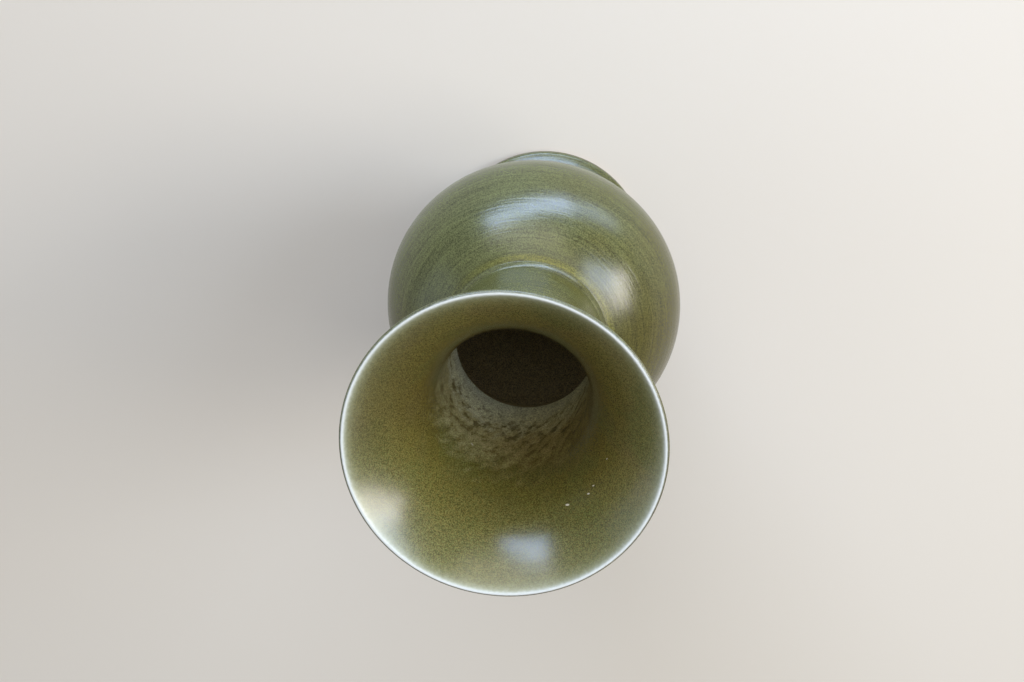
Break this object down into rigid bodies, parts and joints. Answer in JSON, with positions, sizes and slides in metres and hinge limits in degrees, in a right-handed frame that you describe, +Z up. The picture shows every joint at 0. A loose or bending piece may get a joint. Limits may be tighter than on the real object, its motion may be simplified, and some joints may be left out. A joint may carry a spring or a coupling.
{
  "type": "vase",
  "caption": "Tall stoneware vase with a wide trumpet mouth, straight neck, collar ring, globular body and spreading foot, in speckled olive glaze.",
  "frame": {"origin": "centre of the foot's underside, on the surface that the vase stands on", "axes": "+Z up along the vase's axis, from the foot to the mouth; +X and +Y are any two square directions, because the vase is round"},
  "size_m": [0.189, 0.189, 0.37],
  "materials": {
    "mouth_glaze": "satin speckled olive glaze, pale where it thins at the lip",
    "neck_glaze": "satin speckled olive glaze",
    "body_glaze": "satin speckled olive glaze with fine turning lines",
    "foot_glaze": "satin speckled olive glaze, bare brown stoneware on the standing ring"
  },
  "bodies": {
    "root": {"trumpet_mouth": "mouth_glaze", "neck": "neck_glaze", "neck_collar": "body_glaze", "upper_body": "body_glaze", "lower_body": "body_glaze", "foot": "foot_glaze"}
  },
  "joints": []
}
